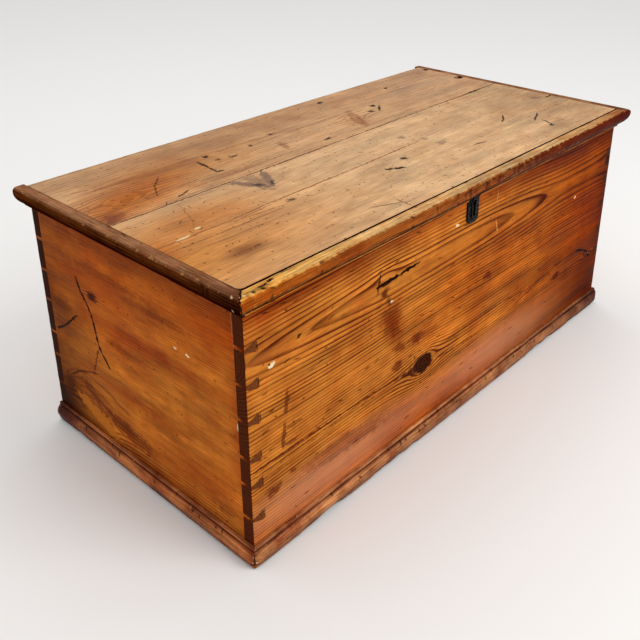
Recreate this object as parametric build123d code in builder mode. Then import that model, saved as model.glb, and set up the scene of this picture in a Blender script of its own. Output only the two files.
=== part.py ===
from build123d import *

import os
from math import cos, radians, sin, tan

os.makedirs("parts", exist_ok=True)

# Driving dimensions in millimetres. The frame has its origin on the floor under the middle of
# the whole chest, with X along its length, the front towards -Y and +Z up.
carcass_length = 1000.0
carcass_depth = 496.0
overall_height = 440.0
board = 20.0
bottom_board = 16.0
bottom_board_count = 3
plinth_height = 35.0
plinth_reach = 11.0
moulding_height = 35.0
moulding_reach = 21.0
moulding_tail = 10.0
lid_clearance = 0.4
skirt_clearance = 0.5
lid_front_gap = 3.0
lid_corner_radius = 8.0
lid_joint_left = 28.5
lid_joint_right = 43.5

# Dovetails, cut by hand: each pin's height above the floor, with its width at the corner and inside
pin_heights = (79.0, 136.0, 181.0, 242.0, 297.0, 353.0)
pin_narrow = 5.0
pin_wide = 18.0
half_pin_narrow = 5.0
half_pin_wide = 13.0

# Chips in the right-hand ends of the lid boards: middle, width and depth along the board
back_board_chips = ((228.5, 12.0, 13.0), (131.5, 16.0, 27.0))
front_board_split = (-94.5, 2.5, 20.0)
chip_drop = 9.0

# Hinges
hinge_at = 340.0
hinge_length = 60.0
strap_width = 30.0
strap_length = 130.0
strap_tip_width = 16.0
strap_thickness = 2.25
flap_height = 44.0
flap_thickness = 2.0
knuckle_radius = 4.0
hinge_pin_radius = 1.9
hinge_running_clearance = 0.05
hinge_gap = 0.3
open_angle = 105.0
heel_length = 5.2
strap_screw_rows = ((0.0, 30.0), (-6.0, 62.0), (6.0, 84.0), (0.0, 118.0))
flap_screw_rows = ((-21.0, 24.0), (21.0, 24.0), (0.0, 34.0))

# Lock, escutcheon and link plate
keyhole_x = -5.5
key_pivot_z = 398.8
keyhole_radius = 5.2
keyhole_slot = 6.8
keyhole_foot_z = 376.0
escutcheon_width = 31.0
escutcheon_foot_z = 363.0
escutcheon_top_z = 412.5
escutcheon_thickness = 3.0
escutcheon_corner = 7.0
rim_width = 2.4
rim_height = 1.8
lock_width = 104.0
lock_foot_z = 360.0
lock_plate_thickness = 2.0
selvage_depth = 14.0
case_width = 90.0
case_foot_z = 366.0
case_wall = 1.5
case_clearance = 0.3
post_radius = 2.0
post_collar_radius = 3.4
post_z = 403.0
ward_radius = 10.2
ward_thickness = 1.2
ward_height = 3.0
spring_foot_z = 384.0
spring_crown_z = 397.4
spring_length = 26.0
spring_thickness = 0.8
spring_depth = 5.0
bolt_throw = 8.0
bolt_thickness = 3.0
bolt_clearance = 0.3
bolt_low_z = 398.0
bolt_bar_z = 403.5
bolt_bar_top_z = 408.0
bolt_finger_z = 411.2
bolt_top_z = 414.4
staple_spacing = 34.0
staple_thickness = 3.0
staple_depth = 9.0
staple_foot_z = 408.6
staple_eye_low = 410.4
staple_eye_high = 415.2
staple_eye_width = 4.5
slot_clearance = 0.5
link_plate_width = 74.0
link_plate_thickness = 2.0


# Screws and nails
screw_radius = 1.7
screw_head_radius = 3.4
screw_clearance = 0.1
screw_slot = 0.8
countersink_angle = 82.0
nail_length = 48.0
nail_radius = 1.4
nail_head_radius = 3.2
brad_radius = 1.0
brad_head_radius = 1.8
brad_head_height = 1.0

# Places worked out from them
half_length = carcass_length / 2
front_face = moulding_reach - (moulding_reach + carcass_depth + moulding_tail) / 2
back_face = front_face + carcass_depth
front_inside = front_face + board
back_inside = back_face - board
end_inside = half_length - board
lid_underside = overall_height - board
rim_z = lid_underside - lid_clearance
lid_front = front_face - skirt_clearance + lid_front_gap
lid_tail = back_face + moulding_tail
skirt_x = half_length + skirt_clearance
skirt_y = front_face - skirt_clearance
hinge_y = back_face + knuckle_radius + hinge_gap
hinge_z = lid_underside + strap_thickness - knuckle_radius
plate_front = front_inside - lock_plate_thickness
case_front = front_inside - selvage_depth + case_clearance
bolt_y = front_inside - 7.5
staple_places = [(keyhole_x + side * staple_spacing / 2, bolt_y) for side in (-1, 1)]




def front_plane(y):
    """A plane facing the front at that depth, with X to the right and Z up."""
    return Plane(origin=(0, y, 0), x_dir=(1, 0, 0), z_dir=(0, -1, 0))


def side_plane(x):
    """A plane facing right at that length, with Y to the right and Z up."""
    return Plane(origin=(x, 0, 0), x_dir=(0, 1, 0), z_dir=(1, 0, 0))


def facing_back(places, y):
    """Locations for holes and screws that enter from behind, each place given as X and Z."""
    return [Location(Plane(origin=(x, y, z), x_dir=(-1, 0, 0), z_dir=(0, 1, 0))) for x, z in places]


def facing_down(places, z):
    """Locations for holes and screws that enter from below, each place given as X and Y."""
    return [Location(Plane(origin=(x, y, z), x_dir=(1, 0, 0), z_dir=(0, 0, -1))) for x, y in places]


def pin_outlines(end):
    """The dovetail pins' end grain at one end of the front or back board, end being -1 or 1."""
    corner = end * half_length
    inner = end * end_inside
    outlines = []
    for height in pin_heights:
        outlines.append(
            [
                (corner, height - pin_narrow / 2),
                (inner, height - pin_wide / 2),
                (inner, height + pin_wide / 2),
                (corner, height + pin_narrow / 2),
            ]
        )
    for edge, side in ((rim_z, -1), (bottom_board, 1)):
        outlines.append(
            [
                (corner, edge),
                (inner, edge),
                (inner, edge + side * half_pin_wide),
                (corner, edge + side * half_pin_narrow),
            ]
        )
    return outlines


def draw_tails():
    """The face of the front or back board, cut away at both ends for the pins."""
    with Locations((0, (rim_z + bottom_board) / 2)):
        Rectangle(carcass_length, rim_z - bottom_board)
    for end in (-1, 1):
        for outline in pin_outlines(end):
            Polygon(*outline, align=None, mode=Mode.SUBTRACT)


def draw_keyhole(grow):
    """Adds the keyhole, larger by grow all round, to a sketch on a front plane."""
    foot = keyhole_foot_z - grow
    with Locations((keyhole_x, key_pivot_z)):
        Circle(keyhole_radius + grow)
    with Locations((keyhole_x, (key_pivot_z + foot) / 2)):
        Rectangle(keyhole_slot + 2 * grow, key_pivot_z - foot)


def draw_lid_moulding():
    """The lid moulding's section: reach outwards in x and height above the floor in y."""
    top = overall_height
    with BuildLine() as outline:
        Line((skirt_clearance, top), (14, top))
        RadiusArc((14, top), (moulding_reach, top - 7), 7)
        RadiusArc((moulding_reach, top - 7), (11, top - 27), 25)
        Line((11, top - 27), (5.2, top - 31))
        Line((5.2, top - 31), (4.2, top - 31))
        Line((4.2, top - 31), (4.2, top - moulding_height))
        Line((4.2, top - moulding_height), (skirt_clearance, top - moulding_height))
        Line((skirt_clearance, top - moulding_height), (skirt_clearance, top))
    make_face(outline.edges())


def draw_plinth():
    """The plinth's section, from its bead at the top to the worn foot."""
    top = plinth_height
    with BuildLine() as outline:
        Line((0, top), (1.8, top))
        ThreePointArc((1.8, top), (4, top - 1), (5, top - 3.2))
        Line((5, top - 3.2), (4.4, top - 5.2))
        Line((4.4, top - 5.2), (5.6, top - 6))
        RadiusArc((5.6, top - 6), (plinth_reach, top - 19), 18.4)
        RadiusArc((plinth_reach, top - 19), (9.8, top - 26), 21.1)
        Line((9.8, top - 26), (8.6, top - 26.8))
        ThreePointArc((8.6, top - 26.8), (8.4, top - 31), (6.4, 0))
        Line((6.4, 0), (0, 0))
        Line((0, 0), (0, top))
    make_face(outline.edges())


def run_along_front(draw):
    """A moulding along the front, mitred at both corners."""
    with BuildSketch(Plane(origin=(0, front_face, 0), x_dir=(0, -1, 0), z_dir=(-1, 0, 0))) as section:
        draw()
    extrude(section.sketch, amount=half_length + moulding_reach, both=True)
    for end in (-1, 1):
        split(bisect_by=Plane(origin=(end * half_length, front_face, 0), z_dir=(-end, -1, 0)))


def run_along_end(draw, end, back):
    """A moulding along one end, mitred at the front corner and cut square at the back."""
    with BuildSketch(
        Plane(origin=(end * half_length, back, 0), x_dir=(end, 0, 0), z_dir=(0, -end, 0))
    ) as section:
        draw()
    extrude(section.sketch, amount=end * (back - front_face + moulding_reach))
    split(bisect_by=Plane(origin=(end * half_length, front_face, 0), z_dir=(end, 1, 0)))


def drive_from_sides(front_places, end_places, height, reach, length, radius, head_radius):
    """Brads driven square into the front and both ends, their heads just under the surface."""
    for size, depth in ((head_radius, brad_head_height), (radius, length)):
        with BuildSketch(front_plane(front_face - reach)) as on_front:
            with Locations(*[(x, height) for x in front_places]):
                Circle(size)
        extrude(on_front.sketch, amount=-depth)
        for end in (-1, 1):
            with BuildSketch(side_plane(end * (half_length + reach))) as on_end:
                with Locations(*[(y, height) for y in end_places]):
                    Circle(size)
            extrude(on_end.sketch, amount=-end * depth)


def wood_screw(length):
    """A slotted countersunk screw, its head level with Z = 0 and its point downwards."""
    head = screw_head_radius - screw_clearance
    shank = screw_radius - screw_clearance
    cone = (screw_head_radius - screw_radius) / tan(radians(countersink_angle / 2))
    with BuildPart() as screw:
        with BuildSketch(Plane.XZ):
            Polygon((0, 0), (head, 0), (shank, -cone), (shank, 2 * cone - length), (0, -length), align=None)
        revolve(axis=Axis.Z)
        with BuildSketch(Plane.XY):
            Rectangle(3 * head, screw_slot)
        extrude(amount=-screw_slot, mode=Mode.SUBTRACT)
    return screw.part


def draw_strap(x):
    """The plan of a hinge strap: parallel at the knuckle, then tapering to a round tip."""
    tip = back_face - strap_length + strap_tip_width / 2
    Polygon(
        (x - strap_width / 2, hinge_y),
        (x - strap_width / 2, back_inside),
        (x - strap_tip_width / 2, tip),
        (x + strap_tip_width / 2, tip),
        (x + strap_width / 2, back_inside),
        (x + strap_width / 2, hinge_y),
        align=None,
    )
    with Locations((x, tip)):
        Circle(strap_tip_width / 2)


def draw_chip(middle, width, depth):
    """A splintered chip in the right-hand end of a lid board, seen from above."""
    Polygon(
        (skirt_x + 1, middle + 0.5 * width),
        (skirt_x - 0.7 * depth, middle + 0.4 * width),
        (skirt_x - depth, middle - 0.1 * width),
        (skirt_x - 0.5 * depth, middle - 0.5 * width),
        (skirt_x + 1, middle - 0.4 * width),
        align=None,
    )


# Front board: tails at both ends, a rebate and a mortise for the lock, and the keyhole
with BuildPart() as front_board:
    with BuildSketch(front_plane(front_inside)):
        draw_tails()
    extrude(amount=board)
    with BuildSketch(front_plane(front_inside)):
        with Locations((keyhole_x, (lock_foot_z + rim_z) / 2)):
            Rectangle(lock_width, rim_z - lock_foot_z)
    extrude(amount=lock_plate_thickness, mode=Mode.SUBTRACT)
    with BuildSketch(Plane.XY.offset(rim_z)):
        with Locations((keyhole_x, front_inside - selvage_depth / 2)):
            Rectangle(lock_width, selvage_depth)
    extrude(amount=-lock_plate_thickness, mode=Mode.SUBTRACT)
    with BuildSketch(front_plane(front_inside)):
        with Locations((keyhole_x, (case_foot_z + rim_z) / 2)):
            Rectangle(case_width, rim_z - case_foot_z)
    extrude(amount=selvage_depth, mode=Mode.SUBTRACT)
    with BuildSketch(front_plane(front_inside)):
        draw_keyhole(0)
    extrude(amount=board, mode=Mode.SUBTRACT)
front_board.part.label = "front_board"
export_step(front_board.part, "parts/front_board.step")

# Back board: the same tails, with nothing let into it
with BuildPart() as back_board:
    with BuildSketch(front_plane(back_face)):
        draw_tails()
    extrude(amount=board)
back_board.part.label = "back_board"
export_step(back_board.part, "parts/back_board.step")

# End boards: their pins run through between the tails of the front and back boards
for side, end in (("left", -1), ("right", 1)):
    with BuildPart() as end_board:
        with BuildSketch(front_plane(back_face)):
            for outline in pin_outlines(end):
                Polygon(*outline, align=None)
        extrude(amount=carcass_depth)
        with BuildSketch(side_plane(end * end_inside)):
            with Locations(((front_inside + back_inside) / 2, (rim_z + bottom_board) / 2)):
                Rectangle(back_inside - front_inside, rim_z - bottom_board)
        extrude(amount=end * board)
    end_board.part.label = f"{side}_end_board"
    export_step(end_board.part, f"parts/{side}_end_board.step")

# Bottom: three boards side by side under the carcass, nailed up into it
bottom_board_depth = carcass_depth / bottom_board_count
for index, place in enumerate(("front", "middle", "back")):
    with BuildPart() as bottom:
        with BuildSketch(Plane.XY):
            with Locations((0, front_face + (index + 0.5) * bottom_board_depth)):
                Rectangle(carcass_length, bottom_board_depth)
        extrude(amount=bottom_board)
    bottom.part.label = f"bottom_board_{place}"
    export_step(bottom.part, f"parts/bottom_board_{place}.step")

# Bottom nails: cut nails through the bottom boards into the edges of the four carcass boards
along_boards = (-420.0, -210.0, 0.0, 210.0, 420.0)
across_boards = (-165.0, -110.0, -5.0, 60.0, 118.0, 180.0)
nail_places = [(x, y) for y in (front_face + board / 2, back_face - board / 2) for x in along_boards]
nail_places += [(end * (half_length - board / 2), y) for end in (-1, 1) for y in across_boards]
with BuildPart() as bottom_nails:
    for radius, height in ((nail_head_radius, nail_radius), (nail_radius, nail_length)):
        with BuildSketch(Plane.XY):
            with Locations(*nail_places):
                Circle(radius)
        extrude(amount=height)
bottom_nails.part.label = "bottom_nails"
export_step(bottom_nails.part, "parts/bottom_nails.step")

# Plinth: one moulding along the front and one along each end, mitred where they meet
with BuildPart() as plinth_front:
    run_along_front(draw_plinth)
plinth_front.part.label = "plinth_front"
export_step(plinth_front.part, "parts/plinth_front.step")
for side, end in (("left", -1), ("right", 1)):
    with BuildPart() as plinth_end:
        run_along_end(draw_plinth, end, back_face)
    plinth_end.part.label = f"plinth_{side}"
    export_step(plinth_end.part, f"parts/plinth_{side}.step")

# Plinth brads, through the thick of the plinth into the carcass
with BuildPart() as plinth_brads:
    drive_from_sides(
        front_places=(-455.0, -300.0, -120.0, 75.0, 250.0, 440.0),
        end_places=(-205.0, -35.0, 130.0, 235.0),
        height=plinth_height - 17.0,
        reach=plinth_reach - 0.4,
        length=26.0,
        radius=brad_radius,
        head_radius=brad_head_radius,
    )
plinth_brads.part.label = "plinth_brads"
export_step(plinth_brads.part, "parts/plinth_brads.step")

# Escutcheon: an iron plate with its lower corners cut off and a raised rim round the keyhole
escutcheon_face = front_face - escutcheon_thickness
half_escutcheon = escutcheon_width / 2
with BuildPart() as escutcheon:
    with BuildSketch(front_plane(front_face)):
        Polygon(
            (keyhole_x - half_escutcheon, escutcheon_top_z),
            (keyhole_x - half_escutcheon, escutcheon_foot_z + escutcheon_corner),
            (keyhole_x - half_escutcheon + escutcheon_corner, escutcheon_foot_z),
            (keyhole_x + half_escutcheon - escutcheon_corner, escutcheon_foot_z),
            (keyhole_x + half_escutcheon, escutcheon_foot_z + escutcheon_corner),
            (keyhole_x + half_escutcheon, escutcheon_top_z),
            align=None,
        )
    extrude(amount=escutcheon_thickness)
    with BuildSketch(front_plane(escutcheon_face)):
        draw_keyhole(rim_width)
    extrude(amount=rim_height)
    with BuildSketch(front_plane(front_face)):
        draw_keyhole(0)
    extrude(amount=escutcheon_thickness + rim_height, mode=Mode.SUBTRACT)
escutcheon.part.label = "escutcheon"
export_step(escutcheon.part, "parts/escutcheon.step")

# Escutcheon pins: two round-headed pins through the plate into the front board
pin_radius = 1.0
pin_head_radius = 2.0
pin_head_height = 1.0
pin_length = 8.0
pin_places = (
    (keyhole_x - 1.0, escutcheon_foot_z + 5.5),
    (keyhole_x - 10.0, escutcheon_top_z - 10.0),
)
with BuildPart() as escutcheon_pins:
    with BuildSketch(front_plane(escutcheon_face)):
        with Locations(*pin_places):
            Circle(pin_head_radius)
    extrude(amount=pin_head_height)
    fillet(escutcheon_pins.edges().group_by(Axis.Y)[0], radius=0.7)
    with BuildSketch(front_plane(escutcheon_face)):
        with Locations(*pin_places):
            Circle(pin_radius)
    extrude(amount=-pin_length)
escutcheon_pins.part.label = "escutcheon_pins"
export_step(escutcheon_pins.part, "parts/escutcheon_pins.step")

# Lock plate: flush with the inside of the front board and bent over its top edge as the
# selvage, which has a slot for each staple of the link plate
lock_screw_places = [(keyhole_x + side * 48.5, z) for side in (-1, 1) for z in (366.0, 404.0)]
with BuildPart() as lock_plate:
    with BuildSketch(front_plane(front_inside)):
        with Locations((keyhole_x, (lock_foot_z + rim_z) / 2)):
            Rectangle(lock_width, rim_z - lock_foot_z)
    extrude(amount=lock_plate_thickness)
    with BuildSketch(Plane.XY.offset(rim_z)):
        with Locations((keyhole_x, front_inside - selvage_depth / 2)):
            Rectangle(lock_width, selvage_depth)
    extrude(amount=-lock_plate_thickness)
    with BuildSketch(Plane.XY.offset(rim_z)):
        with Locations(*staple_places):
            Rectangle(staple_thickness + 2 * slot_clearance, staple_depth + 2 * slot_clearance)
    extrude(amount=-lock_plate_thickness, mode=Mode.SUBTRACT)
    with Locations(*facing_back(lock_screw_places, front_inside)):
        CounterSinkHole(screw_radius, screw_head_radius, counter_sink_angle=countersink_angle)
lock_plate.part.label = "lock_plate"
export_step(lock_plate.part, "parts/lock_plate.step")

# Lock screws, from inside the chest through the lock plate into the front board
with BuildPart() as lock_screws:
    with Locations(*facing_back(lock_screw_places, front_inside)):
        add(wood_screw(16.0))
lock_screws.part.label = "lock_screws"
export_step(lock_screws.part, "parts/lock_screws.step")

# Lock case: an iron tray on the front of the lock plate, open at the top under the selvage
case_half_width = case_width / 2 - case_clearance
case_low_z = case_foot_z + case_clearance
case_top_z = rim_z - lock_plate_thickness
case_depth = plate_front - case_front
with BuildPart() as lock_case:
    with BuildSketch(front_plane(plate_front)):
        with Locations((keyhole_x, (case_low_z + case_top_z) / 2)):
            Rectangle(2 * case_half_width, case_top_z - case_low_z)
    extrude(amount=case_depth)
    with BuildSketch(front_plane(plate_front)):
        with Locations((keyhole_x, (case_low_z + case_wall + case_top_z) / 2)):
            Rectangle(2 * (case_half_width - case_wall), case_top_z - case_low_z - case_wall)
    extrude(amount=case_depth - case_wall, mode=Mode.SUBTRACT)
    with BuildSketch(front_plane(plate_front)):
        draw_keyhole(0)
    extrude(amount=case_depth, mode=Mode.SUBTRACT)
lock_case.part.label = "lock_case"
export_step(lock_case.part, "parts/lock_case.step")

# Lock posts: two studs across the case, with collars that keep the bolt midway between them
post_places = [(keyhole_x - 29.0, post_z), (keyhole_x + 30.0, post_z)]
post_length = case_depth - case_wall
collar_gap = bolt_thickness + 2 * bolt_clearance
with BuildPart() as lock_posts:
    with BuildSketch(front_plane(plate_front)):
        with Locations(*post_places):
            Circle(post_collar_radius)
    extrude(amount=post_length)
    with BuildSketch(front_plane(bolt_y + collar_gap / 2)):
        with Locations(*post_places):
            Circle(post_collar_radius)
            Circle(post_radius, mode=Mode.SUBTRACT)
    extrude(amount=collar_gap, mode=Mode.SUBTRACT)
lock_posts.part.label = "lock_posts"
export_step(lock_posts.part, "parts/lock_posts.step")

# Lock ward: a half ring on the plate that a wrong key's bit would foul
with BuildPart() as lock_ward:
    with BuildSketch(front_plane(plate_front)):
        with Locations((keyhole_x, key_pivot_z)):
            Circle(ward_radius)
            Circle(ward_radius - ward_thickness, mode=Mode.SUBTRACT)
        with Locations((keyhole_x, key_pivot_z - ward_radius)):
            Rectangle(3 * ward_radius, 2 * ward_radius, mode=Mode.SUBTRACT)
    extrude(amount=ward_height)
lock_ward.part.label = "lock_ward"
export_step(lock_ward.part, "parts/lock_ward.step")

# Lock spring: a bowed leaf under the bolt's tail, one end fixed to the side of the case
spring_x = keyhole_x - case_half_width + case_wall
spring_crown_x = spring_x + 12.0
spring_end_x = spring_x + spring_length
spring_end_z = spring_foot_z + 4.0
with BuildPart() as lock_spring:
    with BuildSketch(front_plane(bolt_y + spring_depth / 2)):
        with BuildLine():
            ThreePointArc(
                (spring_x, spring_foot_z),
                (spring_crown_x, spring_crown_z - spring_thickness),
                (spring_end_x, spring_end_z),
            )
            Line((spring_end_x, spring_end_z), (spring_end_x, spring_end_z + spring_thickness))
            ThreePointArc(
                (spring_end_x, spring_end_z + spring_thickness),
                (spring_crown_x, spring_crown_z),
                (spring_x, spring_foot_z + spring_thickness),
            )
            Line((spring_x, spring_foot_z + spring_thickness), (spring_x, spring_foot_z))
        make_face()
    extrude(amount=spring_depth)
lock_spring.part.label = "lock_spring"
export_step(lock_spring.part, "parts/lock_spring.step")

# Lock bolt: it slides to the right on the posts, and its two fingers enter the staples' eyes.
# The outline runs round it from the lower left, with x measured from the keyhole
bolt_outline = (
    (-42, bolt_low_z),
    (-24, bolt_low_z),
    (-24, bolt_bar_z),
    (-9, bolt_bar_z),
    (-9, bolt_bar_z + 5),
    (1, bolt_bar_z + 5),
    (1, bolt_bar_z),
    (18, bolt_bar_z),
    (18, bolt_low_z),
    (34, bolt_low_z),
    (34, bolt_bar_top_z),
    (6.5, bolt_bar_top_z),
    (6.5, bolt_finger_z),
    (14.5, bolt_finger_z),
    (14.5, bolt_top_z),
    (-14, bolt_top_z),
    (-14, bolt_bar_top_z),
    (-27.5, bolt_bar_top_z),
    (-27.5, bolt_finger_z),
    (-19.5, bolt_finger_z),
    (-19.5, bolt_top_z),
    (-32.5, bolt_top_z),
    (-32.5, bolt_bar_top_z),
    (-42, bolt_bar_top_z),
)
bolt_slot = 2 * (post_radius + bolt_clearance)
with BuildPart() as lock_bolt:
    with BuildSketch(front_plane(bolt_y + bolt_thickness / 2)):
        Polygon(*[(keyhole_x + x, z) for x, z in bolt_outline], align=None)
        with Locations(*[(x - bolt_throw / 2, z) for x, z in post_places]):
            Rectangle(bolt_throw + bolt_slot, bolt_slot, mode=Mode.SUBTRACT)
    extrude(amount=bolt_thickness)
lock_bolt.part.label = "lock_bolt"
export_step(lock_bolt.part, "parts/lock_bolt.step")

# Link plate: let into the underside of the lid, with an eyed staple for each finger of the bolt
link_screw_places = [(keyhole_x + side * 30.0, bolt_y) for side in (-1, 1)]
with BuildPart() as link_plate:
    with BuildSketch(Plane.XY.offset(lid_underside)):
        with Locations((keyhole_x, bolt_y)):
            Rectangle(link_plate_width, selvage_depth)
    extrude(amount=link_plate_thickness)
    with BuildSketch(Plane.XY.offset(lid_underside)):
        with Locations(*staple_places):
            Rectangle(staple_thickness, staple_depth)
    extrude(amount=staple_foot_z - lid_underside)
    with BuildSketch(side_plane(keyhole_x)):
        with Locations((bolt_y, (staple_eye_low + staple_eye_high) / 2)):
            Rectangle(staple_eye_width, staple_eye_high - staple_eye_low)
    extrude(amount=staple_spacing, both=True, mode=Mode.SUBTRACT)
    with Locations(*facing_down(link_screw_places, lid_underside)):
        CounterSinkHole(screw_radius, screw_head_radius, counter_sink_angle=countersink_angle)
link_plate.part.label = "link_plate"
export_step(link_plate.part, "parts/link_plate.step")

# Link screws, up through the link plate into the lid
with BuildPart() as link_screws:
    with Locations(*facing_down(link_screw_places, lid_underside)):
        add(wood_screw(14.0))
link_screws.part.label = "link_screws"
export_step(link_screws.part, "parts/link_screws.step")

# Back lid board: it carries both hinge straps in housings in its underside, and its right-hand
# end is chipped
with BuildPart() as lid_board_back:
    with BuildSketch(Plane.XY.offset(lid_underside)):
        Polygon(
            (-skirt_x, lid_joint_left),
            (skirt_x, lid_joint_right),
            (skirt_x, back_face),
            (-skirt_x, back_face),
            align=None,
        )
    extrude(amount=board)
    with BuildSketch(Plane.XY.offset(overall_height)):
        for chip in back_board_chips:
            draw_chip(*chip)
    extrude(amount=-chip_drop, mode=Mode.SUBTRACT)
    with BuildSketch(Plane.XY.offset(lid_underside)):
        for x in (-hinge_at, hinge_at):
            draw_strap(x)
    extrude(amount=strap_thickness, mode=Mode.SUBTRACT)
lid_board_back.part.label = "lid_board_back"
export_step(lid_board_back.part, "parts/lid_board_back.step")

# Front lid board: shrunk away from the front moulding, its near left corner worn round and a
# split in its right-hand end
with BuildPart() as lid_board_front:
    with BuildSketch(Plane.XY.offset(lid_underside)):
        Polygon(
            (-skirt_x, lid_front),
            (skirt_x, lid_front),
            (skirt_x, lid_joint_right),
            (-skirt_x, lid_joint_left),
            align=None,
        )
    extrude(amount=board)
    near_corner = (-skirt_x, lid_front, lid_underside)
    uprights = lid_board_front.edges().filter_by(Axis.Z)
    fillet(uprights.sort_by_distance(near_corner)[0], radius=lid_corner_radius)
    with BuildSketch(Plane.XY.offset(overall_height)):
        draw_chip(*front_board_split)
    extrude(amount=-board, mode=Mode.SUBTRACT)
    with BuildSketch(Plane.XY.offset(lid_underside)):
        with Locations((keyhole_x, bolt_y)):
            Rectangle(link_plate_width, selvage_depth)
    extrude(amount=link_plate_thickness, mode=Mode.SUBTRACT)
lid_board_front.part.label = "lid_board_front"
export_step(lid_board_front.part, "parts/lid_board_front.step")

# Lid mouldings: mitred at the front corners and hanging below the lid as a dust skirt. The
# front one is notched over the top of the escutcheon
notch_foot_z = overall_height - moulding_height
notch_top_z = escutcheon_top_z + 1.0
with BuildPart() as lid_moulding_front:
    run_along_front(draw_lid_moulding)
    with BuildSketch(front_plane(skirt_y)):
        with Locations((keyhole_x, (notch_foot_z + notch_top_z) / 2)):
            Rectangle(escutcheon_width + 2.0, notch_top_z - notch_foot_z)
    extrude(amount=escutcheon_thickness + rim_height + 1.0, mode=Mode.SUBTRACT)
lid_moulding_front.part.label = "lid_moulding_front"
export_step(lid_moulding_front.part, "parts/lid_moulding_front.step")
for side, end in (("left", -1), ("right", 1)):
    with BuildPart() as lid_moulding_end:
        run_along_end(draw_lid_moulding, end, lid_tail)
    lid_moulding_end.part.label = f"lid_moulding_{side}"
    export_step(lid_moulding_end.part, f"parts/lid_moulding_{side}.step")

# Lid brads, through the mouldings into the edges and ends of the lid boards
with BuildPart() as lid_brads:
    drive_from_sides(
        front_places=(-475.0, -376.0, -190.0, 20.0, 170.0, 330.0, 470.0),
        end_places=(-215.0, -80.0, 75.0, 160.0, 238.0),
        height=overall_height - 10.0,
        reach=moulding_reach - 0.6,
        length=42.0,
        radius=brad_radius,
        head_radius=brad_head_radius,
    )
lid_brads.part.label = "lid_brads"
export_step(lid_brads.part, "parts/lid_brads.step")

# Hinges: each has an iron strap let into the lid and a flap screwed to the back board. The
# strap's knuckle has a heel, whose flank lands on the flap when the lid is fully open
bore_radius = hinge_pin_radius + hinge_running_clearance
heel_half_width = hinge_y - back_face - flap_thickness
heel_tilt = radians(open_angle - 90)
along_heel = Vector(cos(heel_tilt), sin(heel_tilt)) * heel_length
across_heel = Vector(-sin(heel_tilt), cos(heel_tilt)) * heel_half_width
knuckle = Vector(hinge_y, hinge_z)
heel = (
    knuckle + across_heel,
    knuckle + across_heel + along_heel,
    knuckle - across_heel + along_heel,
    knuckle - across_heel,
)
recess_foot_z = hinge_z - knuckle_radius - hinge_gap
recess_top_z = hinge_z + knuckle_radius
for side, x in (("left", -hinge_at), ("right", hinge_at)):
    strap_screw_places = [(x + across, back_face - inward) for across, inward in strap_screw_rows]
    with BuildPart() as hinge_strap:
        with BuildSketch(Plane.XY.offset(lid_underside)):
            draw_strap(x)
        extrude(amount=strap_thickness)
        with BuildSketch(side_plane(x - strap_width / 2)):
            with Locations((hinge_y, hinge_z)):
                Circle(knuckle_radius)
            Polygon(*[(corner.X, corner.Y) for corner in heel], align=None)
        extrude(amount=strap_width)
        with BuildSketch(side_plane(x - strap_width)):
            with Locations((hinge_y, hinge_z)):
                Circle(bore_radius)
        extrude(amount=2 * strap_width, mode=Mode.SUBTRACT)
        with Locations(*facing_down(strap_screw_places, lid_underside)):
            CounterSinkHole(screw_radius, screw_head_radius, counter_sink_angle=countersink_angle)
    hinge_strap.part.label = f"hinge_strap_{side}"
    export_step(hinge_strap.part, f"parts/hinge_strap_{side}.step")

    flap_screw_places = [(x + across, hinge_z - down) for across, down in flap_screw_rows]
    with BuildPart() as hinge_flap:
        with BuildSketch(front_plane(back_face)):
            with Locations((x, hinge_z - flap_height / 2)):
                Rectangle(hinge_length, flap_height)
        extrude(amount=-flap_thickness)
        with BuildSketch(side_plane(x - hinge_length / 2)):
            with Locations((hinge_y, hinge_z)):
                Circle(knuckle_radius)
        extrude(amount=hinge_length)
        with BuildSketch(front_plane(back_face)):
            with Locations((x, (recess_foot_z + recess_top_z) / 2)):
                Rectangle(strap_width + 2 * hinge_gap, recess_top_z - recess_foot_z)
        extrude(amount=-4 * knuckle_radius, mode=Mode.SUBTRACT)
        with BuildSketch(side_plane(x - hinge_length)):
            with Locations((hinge_y, hinge_z)):
                Circle(hinge_pin_radius)
        extrude(amount=2 * hinge_length, mode=Mode.SUBTRACT)
        with Locations(*facing_back(flap_screw_places, back_face + flap_thickness)):
            CounterSinkHole(screw_radius, screw_head_radius, counter_sink_angle=countersink_angle)
    hinge_flap.part.label = f"hinge_flap_{side}"
    export_step(hinge_flap.part, f"parts/hinge_flap_{side}.step")

    with BuildPart() as hinge_pin:
        with BuildSketch(side_plane(x - hinge_length / 2)):
            with Locations((hinge_y, hinge_z)):
                Circle(hinge_pin_radius)
        extrude(amount=hinge_length)
    hinge_pin.part.label = f"hinge_pin_{side}"
    export_step(hinge_pin.part, f"parts/hinge_pin_{side}.step")

# Hinge screws: one node for those that hold the straps, and one for those that hold the flaps
with BuildPart() as strap_screws:
    for x in (-hinge_at, hinge_at):
        places = [(x + across, back_face - inward) for across, inward in strap_screw_rows]
        with Locations(*facing_down(places, lid_underside)):
            add(wood_screw(15.0))
strap_screws.part.label = "hinge_strap_screws"
export_step(strap_screws.part, "parts/hinge_strap_screws.step")

with BuildPart() as flap_screws:
    for x in (-hinge_at, hinge_at):
        places = [(x + across, hinge_z - down) for across, down in flap_screw_rows]
        with Locations(*facing_back(places, back_face + flap_thickness)):
            add(wood_screw(17.0))
flap_screws.part.label = "hinge_flap_screws"
export_step(flap_screws.part, "parts/hinge_flap_screws.step")
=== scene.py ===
from math import degrees, radians

import bmesh
import bpy
from mathutils import Matrix, Vector, noise


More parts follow.
